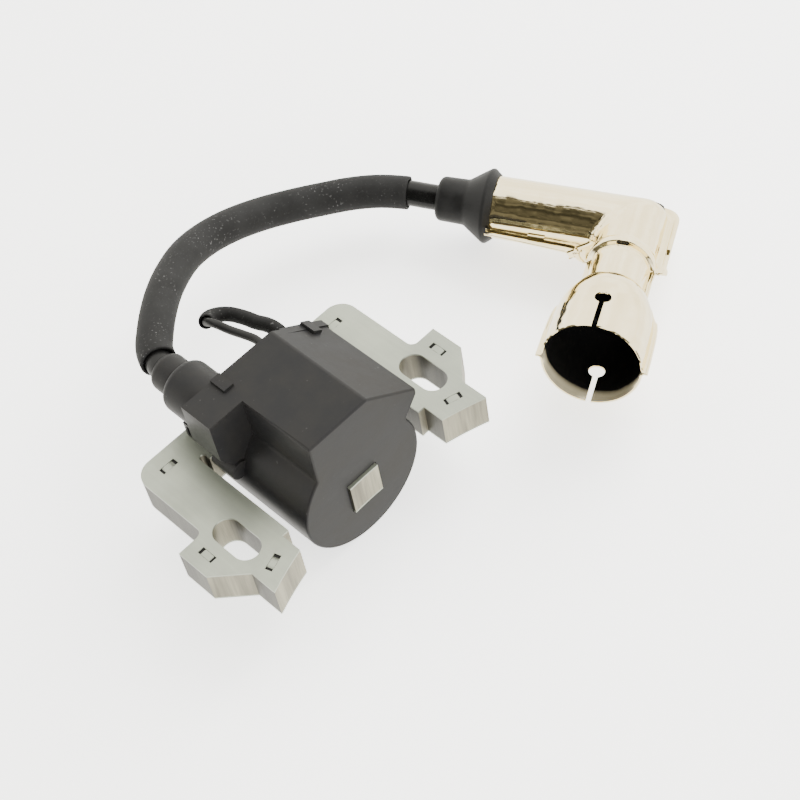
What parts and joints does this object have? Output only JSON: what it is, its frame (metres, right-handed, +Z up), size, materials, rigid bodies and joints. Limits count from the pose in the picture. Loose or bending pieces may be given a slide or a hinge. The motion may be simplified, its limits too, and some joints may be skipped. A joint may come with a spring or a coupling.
{
  "type": "ignition coil",
  "caption": "Small-engine ignition coil: laminated E-core, potted coil case, sleeved high-tension lead, metal-shielded right-angle spark plug cap, stop wire.",
  "frame": {"origin": "midway between the two mounting slots, on the underside of the laminated core", "axes": "+Z up through the lamination stack, +Y from the flywheel side to the yoke, +X towards the spark plug cap"},
  "size_m": [0.1633, 0.1217, 0.0461],
  "materials": {
    "lamination_steel": "bare pressed steel, satin",
    "case_plastic": "satin glass-filled moulding",
    "potting_resin": "poured epoxy",
    "bobbin_nylon": "natural nylon",
    "bobbin_pbt": "natural moulding",
    "copper_wire": "enamelled copper wire",
    "circuit_board": "solder-masked board",
    "chip_plastic": "moulded packages",
    "tinned_strap": "tinned strip",
    "brass": "bright brass",
    "lead_insulation": "glossy black insulation",
    "sleeve_fabric": "matte speckled sleeving",
    "boot_rubber": "matte black rubber",
    "shield_plating": "bright nickel-plated steel sheet",
    "insulator_rubber": "matte black moulding",
    "resistor_ceramic": "glazed ceramic",
    "spring_steel": "plated spring wire",
    "wire_insulation": "glossy black insulation",
    "wire_sleeve": "matte black sleeving",
    "terminal_boot": "soft black vinyl"
  },
  "bodies": {
    "coil": {"core_top_sheet": "lamination_steel", "core_sheets": "lamination_steel", "core_bottom_sheet": "lamination_steel", "coil_case": "case_plastic", "potting_resin": "potting_resin", "primary_bobbin": "bobbin_nylon", "primary_winding": "copper_wire", "secondary_bobbin": "bobbin_pbt", "secondary_winding": "copper_wire", "module_board": "circuit_board", "module_transistor": "chip_plastic", "module_parts": "chip_plastic", "ground_strap": "tinned_strap", "lead_terminal": "brass", "ht_lead": "lead_insulation", "lead_sleeve": "sleeve_fabric", "stop_wire": "wire_insulation", "stop_wire_sleeve": "wire_sleeve", "stop_terminal": "tinned_strap", "stop_terminal_boot": "terminal_boot"},
    "cap": {"cap_boot": "boot_rubber", "shield_upper": "shield_plating", "shield_lower": "shield_plating", "cap_insulator": "insulator_rubber", "cap_lead_screw": "brass", "cap_resistor": "resistor_ceramic", "cap_spring": "spring_steel", "plug_clip": "brass"}
  },
  "joints": [
    {"name": "cap_swivel", "type": "hinge", "parent": "coil", "child": "cap", "pos_m": [0.1078, -0.0029, -0.002], "axis": [-0.4793, 0.8755, 0.061], "range_deg": [-90, 90]}
  ]
}
